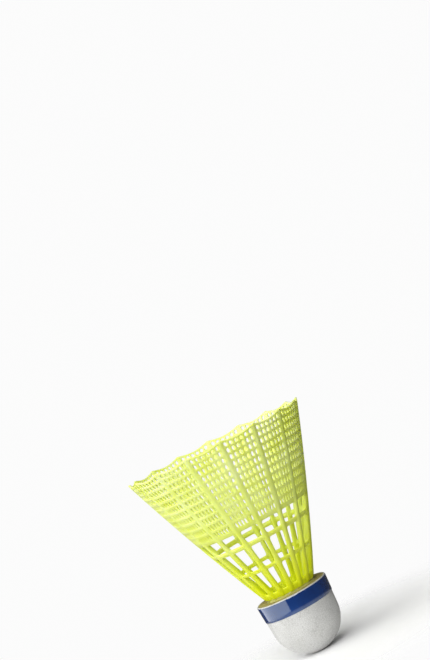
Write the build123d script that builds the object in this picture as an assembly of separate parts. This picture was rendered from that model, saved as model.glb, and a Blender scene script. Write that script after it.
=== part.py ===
from build123d import *
import os
from math import asin, atan, cos, degrees, hypot, radians, sin, sqrt

# A badminton shuttlecock: a moulded nylon skirt glued into a cork base that is
# covered with a thin skin and bound with tape. Millimetres. The axis is Z, the
# nose of the base is at the origin, and the skirt opens upwards.

# ---- Driving dimensions -------------------------------------------------------

# Base
BASE_LENGTH = 23.3            # nose to the flat top of the cork
BASE_TOP_RADIUS = 13.5        # over the tape, at the flat top
BASE_FOOT_RADIUS = 13.1       # over the tape, at the tape's lower edge
SKIN_THICKNESS = 0.4
TAPE_THICKNESS = 0.15
TAPE_HEIGHT = 5.8
SKIN_EDGE = 0.35              # skin left bare above the tape
TAPE_LAP_ANGLE = 30.0         # the tape's end laps over its start

# Skirt outline, on the outside of the stems, measured from the top of the cork
SKIRT_LENGTH = 59.1
ROOT_RADIUS = 9.4
RIM_RADIUS = 33.75
OUTLINE_BULGE = 0.67          # how far the outline bows outwards from a straight cone

# Skirt stems
STEM_COUNT = 16
STEM_ROOT_WIDTH = 2.1
STEM_TIP_WIDTH = 1.1
STEM_ROOT_DEPTH = 2.7
STEM_TIP_DEPTH = 0.9

# Skirt walls and rings: heights above the top of the cork, depths below the outline
ROOT_CONE_TOP = 3.2
LOWER_RING = (11.8, 13.3)
UPPER_RING = (21.7, 23.6)
MESH_HOOP = (28.0, 29.3)
RING_DEPTHS = (0.3, 1.15)
MESH_DEPTHS = (0.25, 0.7)
CONE_DEPTHS = (0.45, 1.3)
MESH_COLUMNS = 6              # holes across one panel, between two stems
MESH_ROWS = 11
MESH_RIB = 0.58               # width of the fine ribs and hoops between the holes
MESH_PITCH_EASE = 0.1         # rows start this share above the mean pitch, and end below it
RIM_STRIP = 0.5               # width of the plain strip along the rim
SCALLOP_DEPTH = 1.15          # dip of the rim between two stem tips
TIP_FLAT_WIDTH = 1.0

# Spigot, the plug under the skirt that sits in the cork
SPIGOT_RADIUS = 7.5
SPIGOT_WALL = 1.2
SPIGOT_LENGTH = 9.0
WEB_THICKNESS = 1.2           # the floor that closes the skirt's narrow end
VENT_RADIUS = 1.2
GLUE_FILM = 0.2
GLUE_BEAD = 0.7
BORE_CLEARANCE = 1.0          # empty end of the cork's bore, under the spigot

# ---- Derived sizes ------------------------------------------------------------

PITCH_ANGLE = 360.0 / STEM_COUNT
SKIN_TOP_RADIUS = BASE_TOP_RADIUS - TAPE_THICKNESS
TAPE_TOP = BASE_LENGTH - SKIN_EDGE
TAPE_FOOT = TAPE_TOP - TAPE_HEIGHT
SIDE_SLOPE = (BASE_TOP_RADIUS - BASE_FOOT_RADIUS) / (BASE_LENGTH - TAPE_FOOT)
SIDE_TAPER = degrees(atan(SIDE_SLOPE))
# The dome is the sphere through the nose that the tapered side touches.
DOME_RADIUS = (SKIN_TOP_RADIUS - SIDE_SLOPE * BASE_LENGTH) / (1 / cos(atan(SIDE_SLOPE)) - SIDE_SLOPE)
BORE_RADIUS = SPIGOT_RADIUS + GLUE_FILM
BORE_DEPTH = SPIGOT_LENGTH + BORE_CLEARANCE

# The outline is one circular arc. Its centre follows from its chord and its bulge.
CHORD = hypot(RIM_RADIUS - ROOT_RADIUS, SKIRT_LENGTH)
CONE_ANGLE = asin((RIM_RADIUS - ROOT_RADIUS) / CHORD)
ARC_RADIUS = CHORD**2 / (8 * OUTLINE_BULGE) + OUTLINE_BULGE / 2
SAG_TO_CENTRE = ARC_RADIUS - OUTLINE_BULGE
ARC_CENTRE_R = (ROOT_RADIUS + RIM_RADIUS) / 2 - SAG_TO_CENTRE * cos(CONE_ANGLE)
ARC_CENTRE_Z = SKIRT_LENGTH / 2 + SAG_TO_CENTRE * sin(CONE_ANGLE)


# The rows of holes fill the height between the hoop and the strip along the rim.
MESH_FOOT = MESH_HOOP[1]
MESH_TOP = SKIRT_LENGTH - RIM_STRIP + MESH_RIB / 2
MESH_MEAN_PITCH = (MESH_TOP - MESH_FOOT) / MESH_ROWS


# ---- Helpers ------------------------------------------------------------------


def outline_radius(height, depth=0.0):
    """Radius of the skirt at a height above the cork, a depth below its outline."""
    reach = ARC_RADIUS - depth
    return ARC_CENTRE_R + sqrt(reach**2 - (height - ARC_CENTRE_Z)**2)


def side_radius(height):
    """Radius of the skin's tapered side at a height above the nose."""
    return SKIN_TOP_RADIUS - SIDE_SLOPE * (BASE_LENGTH - height)


def turned(outline):
    """Solid of revolution about Z from a closed wire in the XZ plane."""
    return revolve(make_face(outline), Axis.Z)


def skirt_band(low, high, depths, high_depths=None):
    """Ring of the skirt's wall between two heights, its depths given at each end."""
    high_depths = high_depths or depths
    middle = (low + high) / 2
    corners = []
    for side in (0, 1):
        mean_depth = (depths[side] + high_depths[side]) / 2
        trio = ((low, depths[side]), (middle, mean_depth), (high, high_depths[side]))
        corners.append([(outline_radius(z, d), 0, BASE_LENGTH + z) for z, d in trio])
    outer, inner = corners
    edges = [
        ThreePointArc(*outer),
        Line(outer[2], inner[2]),
        ThreePointArc(*inner),
        Line(inner[0], outer[0]),
    ]
    return turned(edges)


def around(shape):
    """Copies of a shape at every stem."""
    return [Rot(0, 0, PITCH_ANGLE * i) * shape for i in range(STEM_COUNT)]


def radial_prism(points):
    """Prism that runs outwards along X from the axis, from points across it (y, z)."""
    outline = Polyline(*[(0, y, BASE_LENGTH + z) for y, z in points], close=True)
    return extrude(make_face(outline), amount=1.2 * RIM_RADIUS, dir=(1, 0, 0))


# ---- Skirt --------------------------------------------------------------------


def make_stems():
    """Tapered stems that run from the root to pointed tips at the rim."""
    sleeve = skirt_band(
        GLUE_FILM, SKIRT_LENGTH, (0.0, STEM_ROOT_DEPTH), (0.0, STEM_TIP_DEPTH)
    )
    blade = radial_prism([
        (-STEM_ROOT_WIDTH / 2, GLUE_FILM),
        (STEM_ROOT_WIDTH / 2, GLUE_FILM),
        (STEM_TIP_WIDTH / 2, SKIRT_LENGTH),
        (-STEM_TIP_WIDTH / 2, SKIRT_LENGTH),
    ])
    stem = sleeve & blade
    return around(stem)


def make_scallop():
    """Cutter for the dip in the rim between the stem at angle 0 and the next one."""
    half_span = RIM_RADIUS * sin(radians(PITCH_ANGLE / 2)) - TIP_FLAT_WIDTH / 2
    above = SKIRT_LENGTH + SCALLOP_DEPTH
    rim_z = BASE_LENGTH + SKIRT_LENGTH
    left = (0, -half_span, rim_z)
    right = (0, half_span, rim_z)
    edges = [
        ThreePointArc(left, (0, 0, rim_z - SCALLOP_DEPTH), right),
        Line(right, (0, half_span, BASE_LENGTH + above)),
        Line((0, half_span, BASE_LENGTH + above), (0, -half_span, BASE_LENGTH + above)),
        Line((0, -half_span, BASE_LENGTH + above), left),
    ]
    cutter = extrude(make_face(edges), amount=1.2 * RIM_RADIUS, dir=(1, 0, 0))
    return Rot(0, 0, PITCH_ANGLE / 2) * cutter


def mesh_levels():
    """Heights of the lines between the rows of holes, closer together towards the rim."""
    levels = [MESH_FOOT]
    for row in range(MESH_ROWS):
        ease = MESH_PITCH_EASE * (1 - 2 * row / (MESH_ROWS - 1))
        levels.append(levels[-1] + MESH_MEAN_PITCH * (1 + ease))
    return levels


def mesh_wall():
    """Thin wall from the hoop to the rim, one straight cone for each row of holes."""
    heights = [MESH_HOOP[0], *mesh_levels()[1:-1], SKIRT_LENGTH]
    outer, inner = (
        [(outline_radius(z, depth), 0, BASE_LENGTH + z) for z in heights]
        for depth in MESH_DEPTHS
    )
    return turned(Polyline(*outer, *reversed(inner), close=True))


def sector(low, high, start, end):
    """Block between two heights and two angles, thick enough to go through the mesh."""
    inner = outline_radius(low) - 2 * STEM_ROOT_DEPTH
    outer = outline_radius(high) + STEM_ROOT_DEPTH
    corners = ((inner, low), (outer, low), (outer, high), (inner, high))
    section = Polyline(*[(r, 0, BASE_LENGTH + z) for r, z in corners], close=True)
    return Rot(0, 0, start) * revolve(make_face(section), Axis.Z, end - start)


def rim_dip(angle):
    """How far the scallop lowers the rim at an angle past the stem at 0."""
    share = angle / PITCH_ANGLE
    return 4 * SCALLOP_DEPTH * share * (1 - share)


def mesh_hole_cutters():
    """Cutters for the holes between the stem at angle 0 and the next one, row by row."""
    cutters = []
    levels = mesh_levels()
    for low, high in zip(levels, levels[1:]):
        middle = (low + high) / 2
        radius = outline_radius(middle)
        narrowing = (STEM_ROOT_WIDTH - STEM_TIP_WIDTH) * middle / SKIRT_LENGTH
        stem_angle = degrees((STEM_ROOT_WIDTH - narrowing) / radius)
        rib_angle = degrees(MESH_RIB / radius)
        step = (PITCH_ANGLE - stem_angle + rib_angle) / MESH_COLUMNS
        for column in range(MESH_COLUMNS):
            start = stem_angle / 2 + column * step
            end = start + step - rib_angle
            dip = rim_dip((start + end) / 2) if high == levels[-1] else 0.0
            cutters.append(sector(low + MESH_RIB / 2, high - MESH_RIB / 2 - dip, start, end))
    return cutters


def make_mesh():
    """The fine mesh between the hoop and the rim."""
    holes = [copy for cutter in mesh_hole_cutters() for copy in around(cutter)]
    return mesh_wall().cut(*holes)


def make_spigot():
    """Hollow plug with the web that closes the skirt's narrow end."""
    foot = BASE_LENGTH - SPIGOT_LENGTH
    seat = BASE_LENGTH + GLUE_FILM
    top = BASE_LENGTH + WEB_THICKNESS
    inner = SPIGOT_RADIUS - SPIGOT_WALL
    web_radius = outline_radius(WEB_THICKNESS, CONE_DEPTHS[0] + SPIGOT_WALL / 2)
    outline = Polyline(
        (VENT_RADIUS, 0, seat),
        (inner, 0, seat),
        (inner, 0, foot),
        (SPIGOT_RADIUS, 0, foot),
        (SPIGOT_RADIUS, 0, seat),
        (outline_radius(GLUE_FILM, CONE_DEPTHS[0] + SPIGOT_WALL / 2), 0, seat),
        (web_radius, 0, top),
        (VENT_RADIUS, 0, top),
        close=True,
    )
    return turned(outline)


def make_skirt():
    """The whole skirt, one moulding."""
    rings = [
        skirt_band(GLUE_FILM, ROOT_CONE_TOP, CONE_DEPTHS),
        skirt_band(*LOWER_RING, RING_DEPTHS),
        skirt_band(*UPPER_RING, RING_DEPTHS),
        skirt_band(*MESH_HOOP, RING_DEPTHS),
        make_mesh(),
    ]
    body = make_spigot().fuse(*rings, *make_stems())
    return body.cut(*around(make_scallop()))


# ---- Base ---------------------------------------------------------------------


def base_edges(inset):
    """Dome and side of the base, a given depth inside the skin's face, from the nose up."""
    radius = DOME_RADIUS - inset
    top = (SKIN_TOP_RADIUS - inset, 0, BASE_LENGTH)
    dome = CenterArc((0, 0, 0), radius, -90, 90 - SIDE_TAPER)
    dome = Plane(origin=(0, 0, DOME_RADIUS), x_dir=(1, 0, 0), z_dir=(0, -1, 0)) * dome
    return [dome, Line(dome @ 1, top)], top


def make_base_core():
    """Cork with its blind bore."""
    edges, top = base_edges(SKIN_THICKNESS)
    axis_top = (0, 0, BASE_LENGTH)
    blank = turned([*edges, Line(top, axis_top), Line(axis_top, (0, 0, SKIN_THICKNESS))])
    bore_foot = BASE_LENGTH - BORE_DEPTH
    bore = Pos(0, 0, bore_foot) * Cylinder(
        BORE_RADIUS, BORE_DEPTH, align=(Align.CENTER, Align.CENTER, Align.MIN)
    )
    return blank - bore


def make_base_cover():
    """Skin over the nose and side of the cork, open at the top."""
    outer, outer_top = base_edges(0.0)
    inner, inner_top = base_edges(SKIN_THICKNESS)
    return turned([
        *outer,
        Line(outer_top, inner_top),
        *inner,
        Line((0, 0, SKIN_THICKNESS), (0, 0, 0)),
    ])


def tape_ring(layer, angle=360.0):
    """One layer of tape round the side of the base, counted from 0 at the skin."""
    inner = layer * TAPE_THICKNESS
    outer = inner + TAPE_THICKNESS
    section = Polyline(*[
        (side_radius(z) + offset, 0, z)
        for z, offset in (
            (TAPE_FOOT, inner), (TAPE_FOOT, outer), (TAPE_TOP, outer), (TAPE_TOP, inner)
        )
    ], close=True)
    return revolve(make_face(section), Axis.Z, angle)


def make_ribbon_band():
    """Tape wound once round the base, with its end lapped over its start at the back."""
    lap = Rot(0, 0, 90) * tape_ring(1, TAPE_LAP_ANGLE)
    return tape_ring(0) + lap


def make_root_glue(skirt):
    """Cured adhesive: a film in the bore and under the skirt, and a bead round the root."""
    foot = BASE_LENGTH - SPIGOT_LENGTH
    film_top = BASE_LENGTH + GLUE_FILM
    bead_top = BASE_LENGTH + GLUE_BEAD
    root = outline_radius(GLUE_FILM, CONE_DEPTHS[0])
    bead_edge = (root + GLUE_BEAD, 0, BASE_LENGTH)
    bead_peak = (outline_radius(GLUE_BEAD, CONE_DEPTHS[0]), 0, bead_top)
    outline = [
        Line((SPIGOT_RADIUS, 0, foot), (BORE_RADIUS, 0, foot)),
        Line((BORE_RADIUS, 0, foot), (BORE_RADIUS, 0, BASE_LENGTH)),
        Line((BORE_RADIUS, 0, BASE_LENGTH), bead_edge),
        Line(bead_edge, bead_peak),
        Line(bead_peak, (root, 0, film_top)),
        Line((root, 0, film_top), (SPIGOT_RADIUS, 0, film_top)),
        Line((SPIGOT_RADIUS, 0, film_top), (SPIGOT_RADIUS, 0, foot)),
    ]
    return turned(outline) - skirt


# ---- Export -------------------------------------------------------------------

os.makedirs("parts", exist_ok=True)
skirt_solid = make_skirt()
solids = {
    "skirt": skirt_solid,
    "root_glue": make_root_glue(skirt_solid),
    "base_core": make_base_core(),
    "base_cover": make_base_cover(),
    "ribbon_band": make_ribbon_band(),
}
for name, solid in solids.items():
    export_step(solid, f"parts/{name}.step")
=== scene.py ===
"""A badminton shuttlecock: a moulded nylon skirt glued into a covered and taped cork base.

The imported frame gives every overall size. Each sub-assembly is a class that builds its own
meshes round that frame and dresses them, and each finish is a small class of its own.
Lengths are in metres, angles in degrees unless a name says otherwise.
"""

from __future__ import annotations

import logging
import math
from dataclasses import dataclass, field
from enum import Enum
from typing import Callable, Iterable, Sequence

import bpy
from mathutils import Matrix, Vector, noise

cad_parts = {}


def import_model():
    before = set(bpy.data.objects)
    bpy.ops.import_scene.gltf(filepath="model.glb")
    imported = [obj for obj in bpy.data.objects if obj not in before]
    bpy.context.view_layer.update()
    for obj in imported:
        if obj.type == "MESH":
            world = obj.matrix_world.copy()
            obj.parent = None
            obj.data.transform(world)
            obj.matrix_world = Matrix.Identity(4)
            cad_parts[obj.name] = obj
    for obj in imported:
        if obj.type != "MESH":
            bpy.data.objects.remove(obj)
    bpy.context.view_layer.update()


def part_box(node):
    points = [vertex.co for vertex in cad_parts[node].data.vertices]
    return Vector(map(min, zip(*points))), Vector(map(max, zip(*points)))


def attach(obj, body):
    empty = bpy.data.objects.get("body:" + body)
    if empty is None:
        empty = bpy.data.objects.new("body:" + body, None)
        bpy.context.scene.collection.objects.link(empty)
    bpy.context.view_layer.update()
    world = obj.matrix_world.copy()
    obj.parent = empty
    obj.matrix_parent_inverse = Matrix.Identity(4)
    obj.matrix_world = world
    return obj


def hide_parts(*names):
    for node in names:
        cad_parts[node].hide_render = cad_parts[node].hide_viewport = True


MM = 0.001
SOFT = 0.12 * MM  # how far a turned piece's sharp edges are softened
WELD = 0.001 * MM  # points nearer than this on a turned piece are one point
BODY = "root"
SPIGOT_RADIUS = 7.5 * MM
GLUE_FILM = 0.2 * MM
BORE_CLEARANCE = 1.0 * MM

# Noise scales, in cycles a metre
SLACK_SCALE = 220.0
WAVE_SCALE = 260.0
BEAD_SCALE = 330.0
PIT_SCALES = (900.0, 2100.0)

log = logging.getLogger("shuttlecock")

Ring = tuple[float, float]
Colour = tuple[float, float, float, float]


# ---- Bench tools: selections and edit-mode steps that every piece uses -----------------


def edit_mode(on: bool) -> None:
    """Go into edit mode on the active object, or back out of it."""
    bpy.ops.object.mode_set(mode="EDIT" if on else "OBJECT")


def held(value: float) -> float:
    """A value held within 0 and 1."""
    return min(max(value, 0.0), 1.0)


def clear_selection() -> None:
    """Deselect every object, so that an operator acts only on what is picked next."""
    if bpy.context.object and bpy.context.object.mode != "OBJECT":
        edit_mode(False)
    bpy.ops.object.select_all(action="DESELECT")


def pick(piece: bpy.types.Object) -> None:
    """Make one object the only selected one, and the active one."""
    clear_selection()
    piece.select_set(True)
    bpy.context.view_layer.objects.active = piece


def pick_faces(piece: bpy.types.Object, wanted: Callable[[bpy.types.MeshPolygon], bool]) -> int:
    """Select the faces that a test accepts, and nothing else.

    Args:
        piece: a mesh object, in object mode.
        wanted: says whether a face is wanted, from its place or normal.

    Returns:
        How many faces were selected.
    """
    mesh = piece.data
    for item in (*mesh.vertices, *mesh.edges):
        item.select = False
    chosen = [bool(wanted(face)) for face in mesh.polygons]
    for face, keep in zip(mesh.polygons, chosen):
        face.select = keep
    return sum(chosen)


def delete_faces(piece: bpy.types.Object, wanted: Callable[[bpy.types.MeshPolygon], bool]) -> None:
    """Delete the faces that a test accepts.

    Args:
        piece: a mesh object, in object mode.
        wanted: says whether a face goes.
    """
    pick(piece)
    bpy.context.tool_settings.mesh_select_mode = (False, False, True)
    if pick_faces(piece, wanted):
        edit_mode(True)
        bpy.ops.mesh.delete(type="FACE")
        edit_mode(False)


def mend(piece: bpy.types.Object, merge_distance: float) -> None:
    """Merge doubled points and turn every face outwards.

    Args:
        piece: a mesh object.
        merge_distance: points nearer than this become one.
    """
    pick(piece)
    edit_mode(True)
    bpy.ops.mesh.select_all(action="SELECT")
    bpy.ops.mesh.remove_doubles(threshold=merge_distance)
    bpy.ops.mesh.normals_make_consistent(inside=False)
    edit_mode(False)


def apply_modifier(piece: bpy.types.Object, kind: str, **settings: object) -> None:
    """Add a modifier, set it, and apply it.

    Args:
        piece: the object that gets it.
        kind: Blender's name for the modifier's type.
        **settings: its values by name.
    """
    pick(piece)
    modifier = piece.modifiers.new(kind.title(), kind)
    for name, value in settings.items():
        setattr(modifier, name, value)
    bpy.ops.object.modifier_apply(modifier=modifier.name)


def round_off(piece: bpy.types.Object, levels: int = 1) -> None:
    """Soften a piece's form with subdivision, applied to its mesh."""
    apply_modifier(piece, "SUBSURF", levels=levels, render_levels=levels)


def join(pieces: Sequence[bpy.types.Object], name: str) -> bpy.types.Object:
    """Join objects into the first of them, under a new name."""
    clear_selection()
    for piece in pieces:
        piece.select_set(True)
    bpy.context.view_layer.objects.active = pieces[0]
    bpy.ops.object.join()
    pieces[0].name = pieces[0].data.name = name
    return pieces[0]


def lathe(
    name: str, rings: Sequence[Ring], facets: int, closed: bool
) -> bpy.types.Object:
    """Turn a piece about Z, from a circle that is extruded and resized ring by ring.

    Args:
        name: the object's name.
        rings: (radius, height) of each ring; a first or last radius of 0 is a closed pole.
        facets: faces round the piece.
        closed: whether the last ring joins the first, as on a ring-shaped section.

    Returns:
        The turned object, its faces outwards.
    """
    body = [ring for ring in rings if ring[0] > 0.0]
    clear_selection()
    bpy.ops.mesh.primitive_circle_add(vertices=facets, radius=body[0][0], location=(0, 0, 0))
    piece = bpy.context.object
    piece.name = piece.data.name = name
    edit_mode(True)
    bpy.context.tool_settings.mesh_select_mode = (True, False, False)
    bpy.ops.mesh.select_all(action="SELECT")
    bpy.ops.transform.translate(value=(0, 0, body[0][1]))
    radius, height = body[0]
    for next_radius, next_height in body[1:]:
        bpy.ops.mesh.extrude_edges_move(
            TRANSFORM_OT_translate={"value": (0, 0, next_height - height)}
        )
        scale = next_radius / radius
        bpy.ops.transform.resize(value=(scale, scale, 1), center_override=(0, 0, next_height))
        radius, height = next_radius, next_height
    edit_mode(False)
    if rings[0][0] == 0.0:
        close_pole(piece, body[0], rings[0][1])
    if rings[-1][0] == 0.0:
        close_pole(piece, body[-1], rings[-1][1])
    if closed:
        pick_rings(piece, [body[0], body[-1]])
        edit_mode(True)
        bpy.ops.mesh.bridge_edge_loops()
        edit_mode(False)
    mend(piece, WELD)
    return piece


def pick_rings(piece: bpy.types.Object, rings: Sequence[Ring]) -> None:
    """Select the points that lie on some of a turned piece's rings.

    Args:
        piece: the turned object, in object mode.
        rings: (radius, height) of the wanted rings.
    """
    pick(piece)
    near = 2 * WELD
    edit_mode(True)
    bpy.ops.mesh.select_all(action="DESELECT")
    edit_mode(False)
    for vertex in piece.data.vertices:
        radius = math.hypot(vertex.co.x, vertex.co.y)
        vertex.select = any(
            abs(radius - r) < near and abs(vertex.co.z - z) < near for r, z in rings
        )


def close_pole(piece: bpy.types.Object, ring: Ring, pole_height: float) -> None:
    """Close a ring with a fan of faces that meets on the axis.

    Args:
        piece: the turned object, in object mode.
        ring: (radius, height) of the ring to close.
        pole_height: the pole's height.
    """
    pick_rings(piece, [ring])
    edit_mode(True)
    rise = pole_height - ring[1]
    bpy.ops.mesh.extrude_edges_move(TRANSFORM_OT_translate={"value": (0, 0, rise)})
    bpy.ops.mesh.merge(type="CENTER")
    edit_mode(False)


def smooth(piece: bpy.types.Object, angle: float = 40.0) -> None:
    """Shade a piece smooth, with edges sharper than an angle left crisp."""
    pick(piece)
    bpy.ops.object.shade_smooth_by_angle(angle=math.radians(angle))


def settle(piece: bpy.types.Object, nodes: Iterable[str], finish: "Finish") -> None:
    """Finish a piece: its material, its body and the nodes it stands for.

    Args:
        piece: the finished mesh object.
        nodes: the frame's nodes that this piece replaces.
        finish: what it is made of.
    """
    piece.data.materials.clear()
    piece.data.materials.append(finish.material())
    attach(piece, BODY)
    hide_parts(*nodes)
    log.info("%s: %d faces", piece.name, len(piece.data.polygons))


# ---- Shared shader groups ---------------------------------------------------------------


MIX_INPUTS = (0, 6, 7)  # the Mix node's sockets for colours: factor, A and B
MIX_OUTPUT = 2


class Nodes:
    """A small helper that adds and links nodes in one tree."""

    def __init__(self, tree: bpy.types.NodeTree) -> None:
        """Keep the tree that nodes are added to."""
        self.tree = tree

    def feed(self, socket: bpy.types.NodeSocket, value: object) -> None:
        """Link another node's output to an input, or set the input's own value."""
        if isinstance(value, bpy.types.NodeSocket):
            self.tree.links.new(value, socket)
        else:
            socket.default_value = value

    def add(
        self, kind: str, links: dict[str, object] | None = None, **settings: object
    ) -> bpy.types.Node:
        """Add a node, set its values and link its inputs.

        Args:
            kind: the node's Blender type name.
            links: input name to a value or to another node's output socket.
            **settings: attributes of the node itself.

        Returns:
            The new node.
        """
        node = self.tree.nodes.new(kind)
        for name, value in settings.items():
            setattr(node, name, value)
        for name, value in (links or {}).items():
            self.feed(node.inputs[name], value)
        return node

    def ramp(self, source: bpy.types.NodeSocket, low: float, high: float) -> bpy.types.NodeSocket:
        """Stretch a value so that low becomes 0 and high becomes 1, held within them."""
        limits = {"Value": source, "From Min": low, "From Max": high}
        return self.add("ShaderNodeMapRange", limits, clamp=True).outputs["Result"]

    def between(self, share: bpy.types.NodeSocket, low: float, high: float) -> bpy.types.NodeSocket:
        """Turn a share from 0 to 1 into a value from low to high."""
        limits = {"Value": share, "To Min": low, "To Max": high}
        return self.add("ShaderNodeMapRange", limits).outputs["Result"]

    def mix(
        self, share: bpy.types.NodeSocket | float, first: object, second: object
    ) -> bpy.types.NodeSocket:
        """Mix two colours by a share from 0 to 1."""
        node = self.tree.nodes.new("ShaderNodeMix")
        node.data_type = "RGBA"
        for index, value in zip(MIX_INPUTS, (share, first, second)):
            self.feed(node.inputs[index], value)
        return node.outputs[MIX_OUTPUT]

    def math(
        self, operation: str,
        first: bpy.types.NodeSocket | float,
        second: bpy.types.NodeSocket | float,
    ) -> bpy.types.NodeSocket:
        """Combine two numbers with one operation."""
        node = self.tree.nodes.new("ShaderNodeMath")
        node.operation = operation
        self.feed(node.inputs[0], first)
        self.feed(node.inputs[1], second)
        return node.outputs[0]


def new_group(name: str, inputs: dict[str, float], outputs: Sequence[str]) -> bpy.types.NodeTree:
    """Make an empty shader group with a vector input, float inputs and float outputs.

    Args:
        name: the group's name.
        inputs: float input name to its usual value.
        outputs: float output names.

    Returns:
        The group, with its input and output nodes in place.
    """
    group = bpy.data.node_groups.new(name, "ShaderNodeTree")
    group.interface.new_socket("Vector", in_out="INPUT", socket_type="NodeSocketVector")
    for label, usual in inputs.items():
        socket = group.interface.new_socket(label, in_out="INPUT", socket_type="NodeSocketFloat")
        socket.default_value = usual
    for label in outputs:
        group.interface.new_socket(label, in_out="OUTPUT", socket_type="NodeSocketFloat")
    group.nodes.new("NodeGroupInput")
    group.nodes.new("NodeGroupOutput")
    return group


def group_ends(group: bpy.types.NodeTree) -> tuple[bpy.types.Node, bpy.types.Node]:
    """The input and output nodes of a group."""
    ends = {node.bl_idname: node for node in group.nodes}
    return ends["NodeGroupInput"], ends["NodeGroupOutput"]


def grain_group() -> bpy.types.NodeTree:
    """Fine irregular grain over slow blotches, shared by every finish.

    Returns:
        A group with the outputs Height (fine relief) and Tone (slow variation), from 0 to 1.
    """
    name = "fine_grain"
    if name in bpy.data.node_groups:
        return bpy.data.node_groups[name]
    group = new_group(name, {"Grain Scale": 3000.0, "Blotch Scale": 150.0}, ["Height", "Tone"])
    start, end = group_ends(group)
    nodes = Nodes(group)
    relief = nodes.add(
        "ShaderNodeTexNoise",
        {"Vector": start.outputs["Vector"], "Scale": start.outputs["Grain Scale"], "Detail": 3.0},
    )
    blotch = nodes.add(
        "ShaderNodeTexNoise",
        {"Vector": start.outputs["Vector"], "Scale": start.outputs["Blotch Scale"], "Detail": 2.0},
    )
    group.links.new(relief.outputs["Fac"], end.inputs["Height"])
    group.links.new(nodes.ramp(blotch.outputs["Fac"], 0.3, 0.7), end.inputs["Tone"])
    return group


def pebble_group() -> bpy.types.NodeTree:
    """Rounded pebbles or granules with dark seams, for grained skin and for cork.

    Returns:
        A group with the outputs Height (raised pebbles), Seam (lines between them) and
        Lot (a value of its own for each pebble), from 0 to 1.
    """
    name = "pebbles"
    if name in bpy.data.node_groups:
        return bpy.data.node_groups[name]
    group = new_group(name, {"Pebble Scale": 2000.0, "Seam Width": 0.1}, ["Height", "Seam", "Lot"])
    start, end = group_ends(group)
    nodes = Nodes(group)
    shared = {"Vector": start.outputs["Vector"], "Scale": start.outputs["Pebble Scale"]}
    cells = nodes.add("ShaderNodeTexVoronoi", dict(shared), feature="F1")
    seams = nodes.add("ShaderNodeTexVoronoi", dict(shared), feature="DISTANCE_TO_EDGE")
    seam = nodes.add(
        "ShaderNodeMapRange",
        {
            "Value": seams.outputs["Distance"],
            "From Min": 0.0,
            "From Max": start.outputs["Seam Width"],
            "To Min": 1.0,
            "To Max": 0.0,
        },
        clamp=True,
    )
    dome = nodes.ramp(seams.outputs["Distance"], 0.0, 0.35)
    lot = nodes.add("ShaderNodeSeparateColor", {"Color": cells.outputs["Color"]})
    group.links.new(dome, end.inputs["Height"])
    group.links.new(seam.outputs["Result"], end.inputs["Seam"])
    group.links.new(lot.outputs["Red"], end.inputs["Lot"])
    return group


def use_group(
    nodes: Nodes, group: bpy.types.NodeTree, vector: bpy.types.NodeSocket, **values: float
) -> bpy.types.Node:
    """Place a shared group in a material.

    Args:
        nodes: the material's node helper.
        group: the group to place.
        vector: the coordinates it reads.
        **values: its inputs, spaces in their names as underscores.

    Returns:
        The group's node.
    """
    node = nodes.add("ShaderNodeGroup", node_tree=group)
    nodes.tree.links.new(vector, node.inputs["Vector"])
    for name, value in values.items():
        node.inputs[name.replace("_", " ").title()].default_value = value
    return node


# ---- Finishes -----------------------------------------------------------------------------


def paint(red: float, green: float, blue: float) -> Colour:
    """A linear colour with full alpha."""
    return (red, green, blue, 1.0)


@dataclass(frozen=True)
class Finish:
    """What a piece is made of. Each kind wires its own colours, roughness and relief."""

    name: str = "finish"
    roughness: float = 0.5
    ior: float = 1.5

    def material(self) -> bpy.types.Material:
        """The material, made on first use and shared after that."""
        found = bpy.data.materials.get(self.name)
        if found:
            return found
        made = bpy.data.materials.new(self.name)
        made.use_nodes = True
        nodes = Nodes(made.node_tree)
        shader = made.node_tree.nodes["Principled BSDF"]
        shader.inputs["Roughness"].default_value = self.roughness
        shader.inputs["IOR"].default_value = self.ior
        place = nodes.add("ShaderNodeTexCoord").outputs["Object"]
        self.wire(nodes, shader, place)
        return made

    def wire(self, nodes: Nodes, shader: bpy.types.Node, place: bpy.types.NodeSocket) -> None:
        """Wire the finish's own nodes into the shader.

        Args:
            nodes: the material's node helper.
            shader: its Principled BSDF.
            place: object coordinates, in metres.
        """
        raise NotImplementedError

    @staticmethod
    def relief(
        nodes: Nodes, shader: bpy.types.Node, height: bpy.types.NodeSocket, distance: float,
        strength: float = 1.0,
    ) -> None:
        """Feed a height to the shader's normal.

        Args:
            nodes: the material's node helper.
            shader: its Principled BSDF.
            height: relief from 0 to 1.
            distance: how deep the relief is, in metres.
            strength: how much of it shows.
        """
        values = {"Height": height, "Distance": distance, "Strength": strength}
        bump = nodes.add("ShaderNodeBump", values)
        nodes.feed(shader.inputs["Normal"], bump.outputs["Normal"])


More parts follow.
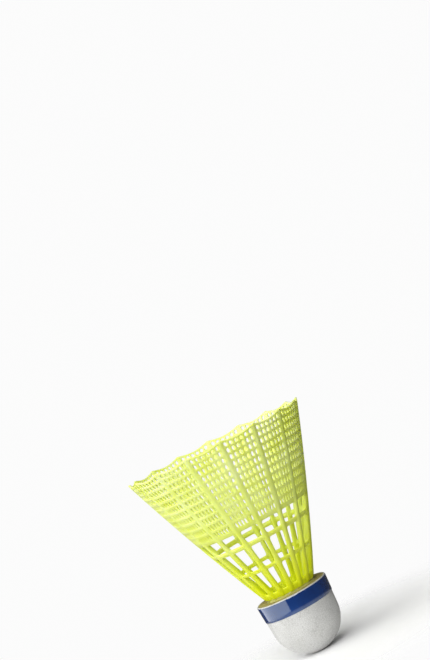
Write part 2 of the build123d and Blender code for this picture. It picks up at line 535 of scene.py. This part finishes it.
@dataclass(frozen=True)
class MouldedNylon(Finish):
    """Fluorescent, slightly milky nylon that light passes through, with a weak painted glow."""

    name: str = "moulded_nylon"
    roughness: float = 0.34
    ior: float = 1.53
    root: Colour = paint(0.56, 0.61, 0.002)
    body: Colour = paint(0.63, 0.71, 0.15)
    pale: Colour = paint(0.70, 0.78, 0.33)
    # Painted glow: colour and strength of a weak emission that brightens the nylon under any lamp.
    painted_glow: Colour = paint(0.58, 0.66, 0.03)
    root_height: float = 29 * MM
    body_height: float = 60 * MM
    haze: tuple[float, float] = (0.28, 0.44)
    milkiness: float = 0.65
    scatter: tuple[float, float, float] = (1.0, 1.0, 0.15)
    scatter_depth: float = 1.8 * MM
    painted_glow_strength: float = 0.12
    gloss: float = 0.30

    def wire(self, nodes: Nodes, shader: bpy.types.Node, place: bpy.types.NodeSocket) -> None:
        """Deeper colour in the thick root, milky blotches, moulding haze and a painted glow."""
        grain = use_group(nodes, grain_group(), place, grain_scale=2600.0, blotch_scale=120.0)
        tone = grain.outputs["Tone"]
        height = nodes.add("ShaderNodeSeparateXYZ", {"Vector": place}).outputs["Z"]
        thin = nodes.ramp(height, self.root_height, self.body_height)
        milky = nodes.mix(tone, self.body, self.pale)
        colour = nodes.mix(thin, self.root, milky)
        nodes.feed(shader.inputs["Base Color"], colour)
        nodes.feed(shader.inputs["Roughness"], nodes.between(tone, *self.haze))
        shader.inputs["Subsurface Weight"].default_value = self.milkiness
        shader.inputs["Subsurface Radius"].default_value = self.scatter
        shader.inputs["Subsurface Scale"].default_value = self.scatter_depth
        # Painted glow: the emission lightens the nylon on its shaded side too.
        shader.inputs["Emission Color"].default_value = self.painted_glow
        shader.inputs["Emission Strength"].default_value = self.painted_glow_strength
        shader.inputs["Specular IOR Level"].default_value = self.gloss
        self.relief(nodes, shader, grain.outputs["Height"], 0.02 * MM, 0.5)


@dataclass(frozen=True)
class GrainedSkin(Finish):
    """Thin white synthetic leather with fine pebbles and soiled seams between them."""

    name: str = "grained_skin"
    roughness: float = 0.5
    face: Colour = paint(0.56, 0.56, 0.547)
    soiled: Colour = paint(0.33, 0.327, 0.31)

    def wire(self, nodes: Nodes, shader: bpy.types.Node, place: bpy.types.NodeSocket) -> None:
        """Pebbled relief, greyer seams and slow soiling."""
        pebbles = use_group(nodes, pebble_group(), place, pebble_scale=1500.0, seam_width=0.14)
        grain = use_group(nodes, grain_group(), place, grain_scale=4000.0, blotch_scale=180.0)
        dirt = nodes.math("MULTIPLY", pebbles.outputs["Seam"], 0.6)
        slow = nodes.math("MULTIPLY", grain.outputs["Tone"], 0.25)
        colour = nodes.mix(nodes.math("ADD", dirt, slow), self.face, self.soiled)
        nodes.feed(shader.inputs["Base Color"], colour)
        height = nodes.math(
            "ADD", pebbles.outputs["Height"], nodes.math("MULTIPLY", grain.outputs["Height"], 0.3)
        )
        self.relief(nodes, shader, height, 0.05 * MM, 0.7)
        shader.inputs["Sheen Weight"].default_value = 0.1


@dataclass(frozen=True)
class GlossTape(Finish):
    """Deep blue plastic tape with a soft orange-peel gloss."""

    name: str = "gloss_tape"
    roughness: float = 0.12
    ior: float = 1.75
    blue: Colour = paint(0.003, 0.019, 0.105)
    worn: Colour = paint(0.004, 0.033, 0.165)
    sheen: Colour = paint(0.80, 0.96, 1.0)
    haze: tuple[float, float] = (0.07, 0.13)
    coat_haze: float = 0.03

    def wire(self, nodes: Nodes, shader: bpy.types.Node, place: bpy.types.NodeSocket) -> None:
        """Slow change of blue, faint ripples and a clear coat."""
        grain = use_group(nodes, grain_group(), place, grain_scale=700.0, blotch_scale=110.0)
        colour = nodes.mix(grain.outputs["Tone"], self.blue, self.worn)
        nodes.feed(shader.inputs["Base Color"], colour)
        nodes.feed(shader.inputs["Roughness"], nodes.between(grain.outputs["Tone"], *self.haze))
        shader.inputs["Coat Weight"].default_value = 1.0
        shader.inputs["Coat Roughness"].default_value = self.coat_haze
        shader.inputs["Specular Tint"].default_value = self.sheen
        self.relief(nodes, shader, grain.outputs["Height"], 0.008 * MM, 0.5)


@dataclass(frozen=True)
class PressedCork(Finish):
    """Cork granules of several browns, pressed together with dark seams, tinted olive by a painted
    reflection of the yellow skirt.
    """

    name: str = "pressed_cork"
    roughness: float = 0.8
    # Both browns carry an olive tint that is painted reflection of the yellow skirt.
    light: Colour = paint(0.40, 0.35, 0.12)
    dark: Colour = paint(0.25, 0.20, 0.06)
    seam: Colour = paint(0.10, 0.08, 0.02)

    def wire(self, nodes: Nodes, shader: bpy.types.Node, place: bpy.types.NodeSocket) -> None:
        """Granules with a painted olive reflection of the skirt, seams and pores."""
        granules = use_group(nodes, pebble_group(), place, pebble_scale=900.0, seam_width=0.07)
        grain = use_group(nodes, grain_group(), place, grain_scale=3500.0, blotch_scale=300.0)
        brown = nodes.mix(granules.outputs["Lot"], self.light, self.dark)
        speck = nodes.mix(nodes.ramp(grain.outputs["Height"], 0.62, 0.75), brown, self.dark)
        colour = nodes.mix(granules.outputs["Seam"], speck, self.seam)
        nodes.feed(shader.inputs["Base Color"], colour)
        height = nodes.math("ADD", granules.outputs["Height"], grain.outputs["Height"])
        self.relief(nodes, shader, height, 0.10 * MM, 0.7)


@dataclass(frozen=True)
class CuredGlue(Finish):
    """Clear adhesive cured amber over the cork, darkened by painted shade and tinted olive by
    painted reflection of the skirt.
    """

    name: str = "cured_glue"
    roughness: float = 0.18
    ior: float = 1.48
    # Both colours are amber glue darkened with painted shade and tinted olive with painted
    # reflection of the skirt.
    amber_and_painted_shade: Colour = paint(0.30, 0.28, 0.06)
    thin: Colour = paint(0.46, 0.43, 0.13)

    def wire(self, nodes: Nodes, shader: bpy.types.Node, place: bpy.types.NodeSocket) -> None:
        """Cloudy amber with painted shade and a painted olive reflection of the skirt, and a wet
        gloss.
        """
        grain = use_group(nodes, grain_group(), place, grain_scale=1200.0, blotch_scale=420.0)
        colour = nodes.mix(grain.outputs["Tone"], self.amber_and_painted_shade, self.thin)
        nodes.feed(shader.inputs["Base Color"], colour)
        shader.inputs["Subsurface Weight"].default_value = 0.4
        shader.inputs["Subsurface Radius"].default_value = (1.0, 0.6, 0.3)
        shader.inputs["Subsurface Scale"].default_value = 0.8 * MM
        self.relief(nodes, shader, grain.outputs["Height"], 0.05 * MM, 0.5)


@dataclass(frozen=True)
class PaleFloor(Finish):
    """A plain, almost white floor that fades out round the object and hides nothing from below."""

    name: str = "pale_floor"
    roughness: float = 0.6
    white: Colour = paint(0.92, 0.92, 0.92)
    solid_radius: float = 20 * MM
    clear_radius: float = 85 * MM

    def wire(self, nodes: Nodes, shader: bpy.types.Node, place: bpy.types.NodeSocket) -> None:
        """One plain colour, clear from far off and from underneath."""
        shader.inputs["Base Color"].default_value = self.white
        shader.inputs["Specular IOR Level"].default_value = 0.2
        reach = nodes.add("ShaderNodeVectorMath", {"Vector": place}, operation="LENGTH")
        limits = {
            "Value": reach.outputs["Value"],
            "From Min": self.solid_radius,
            "From Max": self.clear_radius,
            "To Min": 1.0,
            "To Max": 0.0,
        }
        solid = nodes.add("ShaderNodeMapRange", limits, interpolation_type="SMOOTHSTEP")
        from_below = nodes.add("ShaderNodeNewGeometry").outputs["Backfacing"]
        above = nodes.math("SUBTRACT", 1.0, from_below)
        nodes.feed(shader.inputs["Alpha"], nodes.math("MULTIPLY", solid.outputs["Result"], above))


# ---- Skirt --------------------------------------------------------------------------------


class Zone(Enum):
    """What a cell of the skirt's flat pattern is."""

    WALL = "wall"  # the solid cone at the root
    WINDOW = "window"
    RING = "ring"
    MESH = "mesh"
    RIM = "rim"


@dataclass(frozen=True)
class Outline:
    """The skirt's outer line, a single arc from the root to the rim, measured from the cork."""

    base_top: float
    length: float
    rim_radius: float
    root_radius: float = 9.4 * MM
    bulge: float = 0.67 * MM

    def radius_at(self, height: float, depth: float = 0.0) -> float:
        """Radius at a height above the cork, a depth below the outline."""
        widening = self.rim_radius - self.root_radius
        chord = math.hypot(widening, self.length)
        lean = math.asin(widening / chord)
        arc = chord**2 / (8 * self.bulge) + self.bulge / 2
        reach = arc - self.bulge
        centre_r = (self.root_radius + self.rim_radius) / 2 - reach * math.cos(lean)
        centre_z = self.length / 2 + reach * math.sin(lean)
        return centre_r + math.sqrt((arc - depth) ** 2 - (height - centre_z) ** 2)


@dataclass
class Skirt:
    """The moulded skirt: stems, rings, fine mesh and rim, and the web and spigot under them."""

    outline: Outline
    spigot_radius: float
    spigot_foot: float
    stems: int = 16
    columns: int = 6
    mesh_rows: int = 11
    root_foot: float = 0.2 * MM
    cone_top: float = 3.2 * MM
    lower_ring: tuple[float, float] = (11.8 * MM, 13.3 * MM)
    upper_ring: tuple[float, float] = (21.7 * MM, 23.6 * MM)
    hoop: tuple[float, float] = (28.0 * MM, 29.3 * MM)
    pitch_ease: float = 0.1  # the mesh rows start this share above their mean pitch
    rib: float = 0.58 * MM
    rim_strip: float = 0.45 * MM
    stem_widths: tuple[float, float] = (2.1 * MM, 1.1 * MM)
    stem_depths: tuple[float, float] = (2.7 * MM, 0.95 * MM)
    wall_depths: tuple[float, float] = (0.47 * MM, 1.25 * MM)
    ring_depths: tuple[float, float] = (0.30 * MM, 1.1 * MM)
    mesh_depths: tuple[float, float] = (0.17 * MM, 0.86 * MM)
    scallop: float = 1.15 * MM
    edge_reach: float = 0.4 * MM  # a place this near a ring's lower edge is as deep as the ring
    edge_step: float = 0.1 * MM  # and so is a place this far above its upper edge
    flat_step: float = 0.1  # spacing of the panels while they lie flat
    web_thickness: float = 1.2 * MM
    vent_radius: float = 1.2 * MM
    spigot_wall: float = 1.2 * MM
    boss: tuple[float, float] = (2.2 * MM, 4.0 * MM)  # raised ring round the vent
    boss_height: float = 0.25 * MM
    finish: MouldedNylon = field(default_factory=MouldedNylon)

    def bands(self) -> list[tuple[float, Zone]]:
        """Lower height and kind of each row of the flat pattern, from the root up."""
        rows = [
            (self.root_foot, Zone.WALL), (1.7 * MM, Zone.WALL),
            (self.cone_top, Zone.WINDOW), (6.0 * MM, Zone.WINDOW), (8.9 * MM, Zone.WINDOW),
            (self.lower_ring[0], Zone.RING),
            (self.lower_ring[1], Zone.WINDOW), (16.2 * MM, Zone.WINDOW), (19.0 * MM, Zone.WINDOW),
            (self.upper_ring[0], Zone.RING),
            (self.upper_ring[1], Zone.WINDOW), (25.8 * MM, Zone.WINDOW),
            (self.hoop[0], Zone.RING),
        ]
        height = self.hoop[1]
        mean_pitch = (self.outline.length - self.rim_strip - height) / self.mesh_rows
        low_pitch = (1 + self.pitch_ease) * mean_pitch
        high_pitch = (1 - self.pitch_ease) * mean_pitch
        for row in range(self.mesh_rows):
            rows.append((height, Zone.MESH))
            share = row / (self.mesh_rows - 1)
            height += low_pitch + share * (high_pitch - low_pitch)
        rows.append((height, Zone.RIM))
        return rows

    def width_at(self, height: float) -> float:
        """Distance round the skirt from one stem to the next at a height."""
        return math.radians(360 / self.stems) * self.outline.radius_at(height)

    def share_at(self, height: float) -> float:
        """How far up the skirt a height is, from 0 to 1."""
        return held(height / self.outline.length)

    def stem_half(self, height: float) -> float:
        """Half a stem's width at a height."""
        root, tip = self.stem_widths
        return (root + self.share_at(height) * (tip - root)) / 2

    def cross_lines(self, height: float) -> list[float]:
        """Places of the pattern's upright lines across one panel at a height."""
        width = self.width_at(height)
        half = self.stem_half(height)
        inner = [half + (width - 2 * half) * i / self.columns for i in range(self.columns + 1)]
        return [0.0, half * 0.5, *inner, width - half * 0.5, width]

    def flat_panel(self) -> bpy.types.Object:
        """One panel, from the middle of a stem to the middle of the next, laid out flat."""
        bands = self.bands()
        heights = [height for height, _ in bands] + [self.outline.length]
        across = self.columns + 4
        clear_selection()
        bpy.ops.mesh.primitive_grid_add(
            x_subdivisions=across, y_subdivisions=len(bands), size=1.0, location=(0, 0, 0)
        )
        panel = bpy.context.object
        for vertex in panel.data.vertices:
            column = round((vertex.co.x + 0.5) * across)
            row = round((vertex.co.y + 0.5) * len(bands))
            height = heights[row]
            left = -self.width_at(height) / 2
            vertex.co = (left + self.cross_lines(height)[column], height, 0.0)
        panel.data.update()
        self.open_holes(panel, heights)
        return panel

    def zone_at(self, height: float) -> Zone:
        """Kind of the row that a height lies in."""
        zone = Zone.WALL
        for low, kind in self.bands():
            if height > low:
                zone = kind
        return zone

    def between_stems(self, x: float, height: float) -> bool:
        """Whether a place on the flat panel is clear of the stems at its sides."""
        return abs(x) < self.width_at(height) / 2 - self.stem_half(height)

    def open_holes(self, panel: bpy.types.Object, heights: Sequence[float]) -> None:
        """Inset the mesh's cells and delete what is left inside them, and the windows.

        Args:
            panel: the flat panel.
            heights: the pattern's level lines; not used.
        """

        def is_cell(face: bpy.types.MeshPolygon, zone: Zone) -> bool:
            centre = face.center
            return self.zone_at(centre.y) is zone and self.between_stems(centre.x, centre.y)

        delete_faces(panel, lambda face: is_cell(face, Zone.WINDOW))
        pick(panel)
        pick_faces(panel, lambda face: is_cell(face, Zone.MESH))
        edit_mode(True)
        bpy.ops.mesh.inset(thickness=self.rib / 2, use_individual=True, use_even_offset=True)
        bpy.ops.mesh.delete(type="FACE")
        edit_mode(False)

    def thicken(self, panel: bpy.types.Object) -> None:
        """Give the flat panel its thickness, and open the two sides that meet its neighbours."""
        apply_modifier(panel, "SOLIDIFY", thickness=MM, offset=-1.0, use_even_offset=False)

        def on_side(face: bpy.types.MeshPolygon) -> bool:
            corners = [panel.data.vertices[i].co for i in face.vertices]
            return all(
                abs(abs(corner.x) - self.width_at(corner.y) / 2) < 0.01 * MM for corner in corners
            )

        delete_faces(panel, on_side)

    def dip(self, height: float, share: float) -> float:
        """How far the rim's scallop lowers a place, full at the rim and gone two rows below."""
        start = self.bands()[-3][0]
        rise = held((height - start) / (self.outline.length - start))
        sway = math.sin(math.pi * share)
        return self.scallop * sway * rise**1.5

    def depth_at(self, height: float, x: float, inner: bool) -> float:
        """Depth of the skirt's outer or inner face below its outline at a place on the panel.

        Args:
            height: above the cork.
            x: across the flat panel, from its middle.
            inner: whether it is the inner face.

        Returns:
            The depth, in metres.
        """
        side = 1 if inner else 0
        from_stem = self.width_at(height) / 2 - abs(x)
        half = self.stem_half(height)
        near = [kind for low, kind in self.bands() if abs(low - height) < self.edge_reach]
        kinds = {self.zone_at(height), self.zone_at(height - self.edge_step), *near}
        if Zone.RING in kinds:
            flat = self.ring_depths[side]
        elif self.zone_at(height) is Zone.WALL or height < self.cone_top + self.edge_step:
            flat = self.wall_depths[side]
        else:
            flat = self.mesh_depths[side]
        root, tip = self.stem_depths
        stem = (root + self.share_at(height) * (tip - root)) if inner else 0.0
        if from_stem > 0.99 * half:
            return flat
        crown = 1 - (from_stem / half) ** 2
        return flat + (stem - flat) * crown

    def roll_up(self, strip: bpy.types.Object) -> None:
        """Roll the flat strip of panels into the skirt's cone."""
        pitch = math.radians(360 / self.stems)
        for vertex in strip.data.vertices:
            x, height, level = vertex.co
            panel = round(x / self.flat_step)
            x -= panel * self.flat_step
            width = self.width_at(height)
            share = x / width + 0.5
            depth = self.depth_at(height, x, level < -0.5 * MM)
            angle = (panel + share) * pitch
            lowered = height - self.dip(height, share)
            radius = self.outline.radius_at(lowered, depth)
            vertex.co = (
                radius * math.cos(angle),
                radius * math.sin(angle),
                self.outline.base_top + lowered,
            )
        strip.data.update()

    def build_cone(self) -> bpy.types.Object:
        """The stems, rings, mesh and rim as one closed moulding."""
        panel = self.flat_panel()
        self.thicken(panel)
        panels = [panel]
        for index in range(1, self.stems):
            pick(panel)
            bpy.ops.object.duplicate(linked=False)
            twin = bpy.context.object
            for vertex in twin.data.vertices:
                vertex.co.x += index * self.flat_step
            panels.append(twin)
        strip = join(panels, "skirt_lattice")
        self.roll_up(strip)
        mend(strip, 0.02 * MM)
        round_off(strip)
        smooth(strip, 60.0)
        return strip

    def build_plug(self) -> bpy.types.Object:
        """The web that closes the skirt's root and the hollow spigot under it."""
        foot, radius, vent = self.spigot_foot, self.spigot_radius, self.vent_radius
        inner = radius - self.spigot_wall
        seat = self.outline.base_top + self.root_foot
        web = self.outline.base_top + self.web_thickness
        boss = web + self.boss_height
        edge = self.outline.radius_at(0.7 * MM, 0.9 * MM)
        boss_in, boss_out = self.boss
        rings = [
            (vent, seat + SOFT), (vent + SOFT, seat), (inner - SOFT, seat), (inner, seat - SOFT),
            (inner, foot + SOFT), (inner + SOFT, foot), (radius - SOFT, foot),
            (radius, foot + SOFT), (radius, seat - SOFT), (radius + SOFT, seat),
            (edge, seat), (edge, web), (edge - 0.6 * MM, web),
            (boss_out, web), (boss_out - 0.2 * MM, boss), (boss_in + 0.2 * MM, boss),
            (boss_in, web), (vent + SOFT, web), (vent, web - SOFT),
        ]
        plug = lathe("skirt_web_and_spigot", rings, 64, closed=True)
        smooth(plug, 35.0)
        return plug

    def build(self) -> list[bpy.types.Object]:
        """Build and dress the skirt.

        Returns:
            Its pieces.
        """
        made = [self.build_cone(), self.build_plug()]
        for piece in made:
            settle(piece, ["skirt"], self.finish)
        return made


# ---- Base ---------------------------------------------------------------------------------


@dataclass
class CorkBase:
    """The cork, its skin and the tape round them."""

    top: float
    skin_radius: float
    tape_foot: float
    tape_top: float
    core_radius: float
    bore_radius: float
    bore_foot: float
    foot_radius: float = 13.1 * MM
    tape_thickness: float = 0.15 * MM
    tape_soft: float = 0.04 * MM
    margin: float = 0.01 * MM  # the tape runs into the skin by this, the cork clears it by this
    tape_wave: float = 0.02 * MM
    skin_slack: float = 0.05 * MM
    lap_angles: tuple[float, float] = (90.0, 120.0)  # where the tape is two layers thick
    lap_run_in: float = 1.5
    cork_pits: float = 0.16 * MM
    facets: int = 128
    skin: GrainedSkin = field(default_factory=GrainedSkin)
    tape: GlossTape = field(default_factory=GlossTape)
    cork: PressedCork = field(default_factory=PressedCork)

    @property
    def slope(self) -> float:
        """How fast the side widens with height."""
        tape_top_radius = self.skin_radius + self.tape_thickness
        return (tape_top_radius - self.foot_radius) / (self.top - self.tape_foot)

    @property
    def dome_radius(self) -> float:
        """Radius of the sphere that makes the nose and runs into the side."""
        lean = math.atan(self.slope)
        return (self.skin_radius - self.slope * self.top) / (1 / math.cos(lean) - self.slope)

    def side_radius(self, height: float) -> float:
        """Radius of the skin's side at a height."""
        return self.skin_radius - self.slope * (self.top - height)

    def profile(self, inset: float, dome_steps: int = 18, side_steps: int = 8) -> list[Ring]:
        """Rings from the nose to the top, a depth inside the skin's face.

        Args:
            inset: depth below the skin's outer face.
            dome_steps: rings on the dome.
            side_steps: rings on the side.

        Returns:
            (radius, height) pairs, the first one on the axis.
        """
        radius = self.dome_radius - inset
        last = math.pi / 2 - math.atan(self.slope)
        rings = []
        for step in range(dome_steps + 1):
            turn = last * step / dome_steps
            height = self.dome_radius - radius * math.cos(turn)
            rings.append((radius * math.sin(turn), height))
        start = rings[-1][1]
        for step in range(1, side_steps + 1):
            height = start + (self.top - start) * step / side_steps
            rings.append((self.side_radius(height) - inset, height))
        return rings

    def build_cover(self) -> bpy.types.Object:
        """The skin: stretched over the nose, with a soft turned edge at the top."""
        outer = self.profile(0.0)
        inner = self.profile(self.skin_radius - self.core_radius, 10, 4)
        outer[-1] = (outer[-1][0], self.top - SOFT)
        turned_edge = [(outer[-1][0] - SOFT, self.top), (inner[-1][0] + SOFT, self.top)]
        rings = [*outer, *turned_edge, *reversed(inner)]
        cover = lathe("base_cover_skin", rings, self.facets, closed=False)
        for vertex in cover.data.vertices:
            radius = math.hypot(vertex.co.x, vertex.co.y)
            if radius < 0.5 * MM:
                continue
            outward = Vector((vertex.co.x / radius, vertex.co.y / radius, 0))
            vertex.co -= outward * self.skin_slack * abs(noise.noise(vertex.co * SLACK_SCALE))
        cover.data.update()
        smooth(cover, 50.0)
        return cover

    def build_tape(self) -> bpy.types.Object:
        """The tape: one turn with rounded edges, and a second layer where its end laps over."""
        foot, top, soft = self.tape_foot, self.tape_top, self.tape_soft
        heights = [
            foot, foot + 2 * soft, foot + 1.5 * MM,
            (foot + top) / 2,
            top - 1.5 * MM, top - 2 * soft, top,
        ]
        outer = [
            (self.side_radius(z) + self.tape_thickness - (soft if z in (foot, top) else 0.0), z)
            for z in heights
        ]
        inner = [(self.side_radius(z) - self.margin, z) for z in (top, foot)]
        ring = lathe("tape_band", [*outer, *inner], self.facets * 2, closed=True)
        lap_start, lap_end = self.lap_angles
        for vertex in ring.data.vertices:
            radius = math.hypot(vertex.co.x, vertex.co.y)
            if radius < self.side_radius(vertex.co.z) + 0.3 * self.tape_thickness:
                continue
            angle = math.degrees(math.atan2(vertex.co.y, vertex.co.x)) % 360
            rise = held((angle - lap_start) / self.lap_run_in)
            fall = held((lap_end - angle) / (4 * self.lap_run_in))
            lift = 0.85 * self.tape_thickness * min(rise, fall)
            wave = self.tape_wave * abs(noise.noise(vertex.co * WAVE_SCALE))
            grow = (radius + lift - wave) / radius
            vertex.co.x *= grow
            vertex.co.y *= grow
        ring.data.update()
        smooth(ring, 35.0)
        return ring

    def build_core(self) -> bpy.types.Object:
        """The cork: its outer form, a lightly pitted top face and the bore."""
        outer = self.profile(self.skin_radius - self.core_radius + self.margin, 10, 4)
        edge = outer[-1][0]
        steps = 14
        face = [
            (edge - (edge - self.bore_radius) * step / steps, self.top)
            for step in range(1, steps + 1)
        ]
        rings = [*outer, *face, (self.bore_radius, self.bore_foot), (0.0, self.bore_foot)]
        core = lathe("cork_core", rings, 192, closed=False)
        for vertex in core.data.vertices:
            if abs(vertex.co.z - self.top) < 0.01 * MM:
                coarse, fine = (noise.noise(vertex.co * scale) for scale in PIT_SCALES)
                vertex.co.z -= self.cork_pits * max(coarse + 0.5 * fine, 0.0)
        core.data.update()
        smooth(core, 50.0)
        return core

    def build(self) -> list[bpy.types.Object]:
        """Build and dress the base.

        Returns:
            Its pieces.
        """
        cover, tape, core = self.build_cover(), self.build_tape(), self.build_core()
        settle(cover, ["base_cover"], self.skin)
        settle(tape, ["ribbon_band"], self.tape)
        settle(core, ["base_core"], self.cork)
        return [cover, tape, core]


@dataclass
class RootGlue:
    """The adhesive: the bead round the skirt's root and the film under it."""

    base_top: float
    bead_radius: float
    spigot_radius: float
    foot: float
    outline: Outline
    film: float = GLUE_FILM
    bead: float = 0.7 * MM
    behind: float = 0.55 * MM  # how far inside the skirt's outline the bead ends
    finish: CuredGlue = field(default_factory=CuredGlue)

    def build(self) -> list[bpy.types.Object]:
        """Build and dress the glue.

        Returns:
            Its one piece.
        """
        low, high = self.base_top, self.base_top + self.bead
        root = self.outline.radius_at(self.film, self.behind)
        peak = self.outline.radius_at(self.bead, self.behind)
        reach = self.bead_radius - 0.03 * MM
        slope = [(0.0, 0.0), (0.06, 0.2), (0.3, 0.45), (0.6, 0.7), (0.85, 0.92)]
        face = [
            (reach + share * (peak - reach), low + rise * self.bead) for share, rise in slope
        ]
        rings = [
            (self.spigot_radius, self.foot), (self.spigot_radius + self.film, self.foot),
            (self.spigot_radius + self.film, low), ((root + reach) / 2, low),
            *face, (peak, high),
            (root, low + self.film), (self.spigot_radius, low + self.film),
        ]
        bead = lathe("glue_bead", rings, 160, closed=True)
        for vertex in bead.data.vertices:
            radius = math.hypot(vertex.co.x, vertex.co.y)
            above = vertex.co.z - low
            if radius < peak + 0.02 * MM or above < 0.02 * MM:
                continue
            uneven = noise.noise(Vector((vertex.co.x, vertex.co.y, 0)) * BEAD_SCALE)
            vertex.co.z -= above * (0.25 + 0.3 * uneven)
            grow = 1 - 0.12 * MM * (0.5 + 0.5 * uneven) / radius
            vertex.co.x *= grow
            vertex.co.y *= grow
        bead.data.update()
        smooth(bead, 60.0)
        settle(bead, ["root_glue"], self.finish)
        return [bead]


# ---- Studio -------------------------------------------------------------------------------


@dataclass(frozen=True)
class SoftBox:
    """A rectangular light that faces a point on the axis.

    Args:
        name: the light's name.
        place: its centre.
        target_height: height on the axis that it faces.
        size: its width and height.
        radiance: how bright its face is.
    """

    name: str
    place: tuple[float, float, float]
    target_height: float
    size: tuple[float, float]
    radiance: float

    def add(self) -> None:
        """Add the light to the scene."""
        data = bpy.data.lights.new(self.name, "AREA")
        data.shape = "RECTANGLE"
        data.size, data.size_y = self.size
        data.energy = self.radiance * math.pi * self.size[0] * self.size[1]
        light = bpy.data.objects.new(self.name, data)
        bpy.context.scene.collection.objects.link(light)
        light.location = self.place
        away = Vector(self.place) - Vector((0, 0, self.target_height))
        light.rotation_euler = away.to_track_quat("Z", "Y").to_euler()


SOFT_BOXES = (
    SoftBox("left_box", (-0.36, -0.04, 0.20), 0.20, (0.92, 0.70), 1.6),
    SoftBox("top_box", (-0.15, -0.1, 0.75), 0.0, (0.9, 0.9), 1.7),
    SoftBox("front_box", (-0.12, -0.8, 0.45), 0.04, (0.5, 0.5), 7.6),
)


@dataclass
class Studio:
    """The floor, the lights and the camera."""

    camera_place: tuple[float, float, float] = (-31.6 * MM, -564.9 * MM, 99.7 * MM)
    camera_pan: float = -5.13
    camera_tilt: float = 91.72
    camera_roll: float = -27.76
    lens: float = 87.3
    floor_size: float = 0.4
    backdrop: float = 0.97
    ambient: float = 0.07

    def camera_turn(self) -> Matrix:
        """The camera's turn: panned, tilted, then rolled about its own line of sight."""
        pan = Matrix.Rotation(math.radians(self.camera_pan), 4, "Z")
        tilt = Matrix.Rotation(math.radians(self.camera_tilt), 4, "X")
        roll = Matrix.Rotation(math.radians(self.camera_roll), 4, "Z")
        return pan @ tilt @ roll

    def add_camera(self) -> None:
        """Place the camera and make it the scene's."""
        data = bpy.data.cameras.new("camera")
        data.lens = self.lens
        camera = bpy.data.objects.new("camera", data)
        bpy.context.scene.collection.objects.link(camera)
        camera.matrix_world = Matrix.Translation(self.camera_place) @ self.camera_turn()
        bpy.context.scene.camera = camera

    def add_floor(self) -> None:
        """Lay the pale floor under the nose."""
        clear_selection()
        bpy.ops.mesh.primitive_plane_add(size=self.floor_size, location=(0, 0, 0))
        floor = bpy.context.object
        floor.name = "floor"
        floor.data.materials.append(PaleFloor().material())

    def build(self) -> None:
        """Set up the whole studio."""
        self.add_floor()
        self.add_camera()
        for box in SOFT_BOXES:
            box.add()
        self.add_world()
        bpy.context.scene.view_settings.view_transform = "Standard"

    def add_world(self) -> None:
        """Surround the scene with white that is seen directly brighter than it lights."""
        world = bpy.data.worlds.new("studio")
        world.use_nodes = True
        nodes = Nodes(world.node_tree)
        lit = world.node_tree.nodes["Background"]
        lit.inputs["Color"].default_value = (1, 1, 1, 1)
        seen = nodes.add("ShaderNodeLightPath").outputs["Is Camera Ray"]
        nodes.feed(lit.inputs["Strength"], nodes.between(seen, self.ambient, self.backdrop))
        bpy.context.scene.world = world


# ---- Assembly -----------------------------------------------------------------------------


def main() -> None:
    """Load the frame, build each sub-assembly round it, and set up the studio."""
    logging.basicConfig(level=logging.INFO, format="%(name)s: %(message)s")
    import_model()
    skirt_low, skirt_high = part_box("skirt")
    tape_low, tape_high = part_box("ribbon_band")
    cover_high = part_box("base_cover")[1]
    core_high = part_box("base_core")[1]
    glue_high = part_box("root_glue")[1]
    outline = Outline(
        base_top=cover_high[2],
        length=skirt_high[2] - cover_high[2],
        rim_radius=skirt_high[0],
    )
    skirt = Skirt(outline, SPIGOT_RADIUS, skirt_low[2])
    base = CorkBase(
        top=cover_high[2],
        skin_radius=cover_high[0],
        tape_foot=tape_low[2],
        tape_top=tape_high[2],
        core_radius=core_high[0],
        bore_radius=SPIGOT_RADIUS + GLUE_FILM,
        bore_foot=skirt_low[2] - BORE_CLEARANCE,
    )
    glue = RootGlue(cover_high[2], glue_high[0], SPIGOT_RADIUS, skirt_low[2], outline)
    for assembly in (skirt, base, glue):
        for piece in assembly.build():
            log.info("built %s", piece.name)
    Studio().build()


if __name__ == "__main__":
    main()
